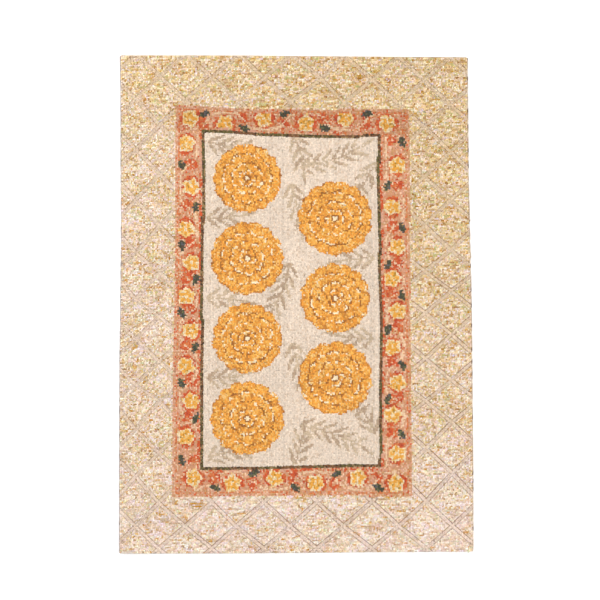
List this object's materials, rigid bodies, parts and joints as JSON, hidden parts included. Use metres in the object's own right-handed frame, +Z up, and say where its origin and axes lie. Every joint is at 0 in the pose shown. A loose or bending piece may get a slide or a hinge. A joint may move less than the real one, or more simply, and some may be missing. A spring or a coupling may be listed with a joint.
{
  "type": "hand-knotted rug",
  "caption": "Flat rectangular wool pile rug with an outer border carved into a diamond lattice, a flowering vine band, a plain field with round blossoms, and overcast edges.",
  "frame": {"origin": "on the floor under the middle of the rug's bounding box", "axes": "+Z up out of the pile, +X across the width, +Y along the length towards the rug's top end"},
  "size_m": [1.2126, 1.704, 0.011],
  "materials": {
    "wool_pile": "matt cut wool pile",
    "overcast_grey_lilac": "matt overcast wool yarn",
    "overcast_brown": "matt overcast wool yarn",
    "binding_taupe": "matt overcast wool yarn",
    "binding_grey_brown": "matt overcast wool yarn"
  },
  "bodies": {
    "root": {"rug": "wool_pile", "selvedge_left": "overcast_grey_lilac", "selvedge_right": "overcast_brown", "end_binding_top": "binding_taupe", "end_binding_bottom": "binding_grey_brown"}
  },
  "joints": []
}
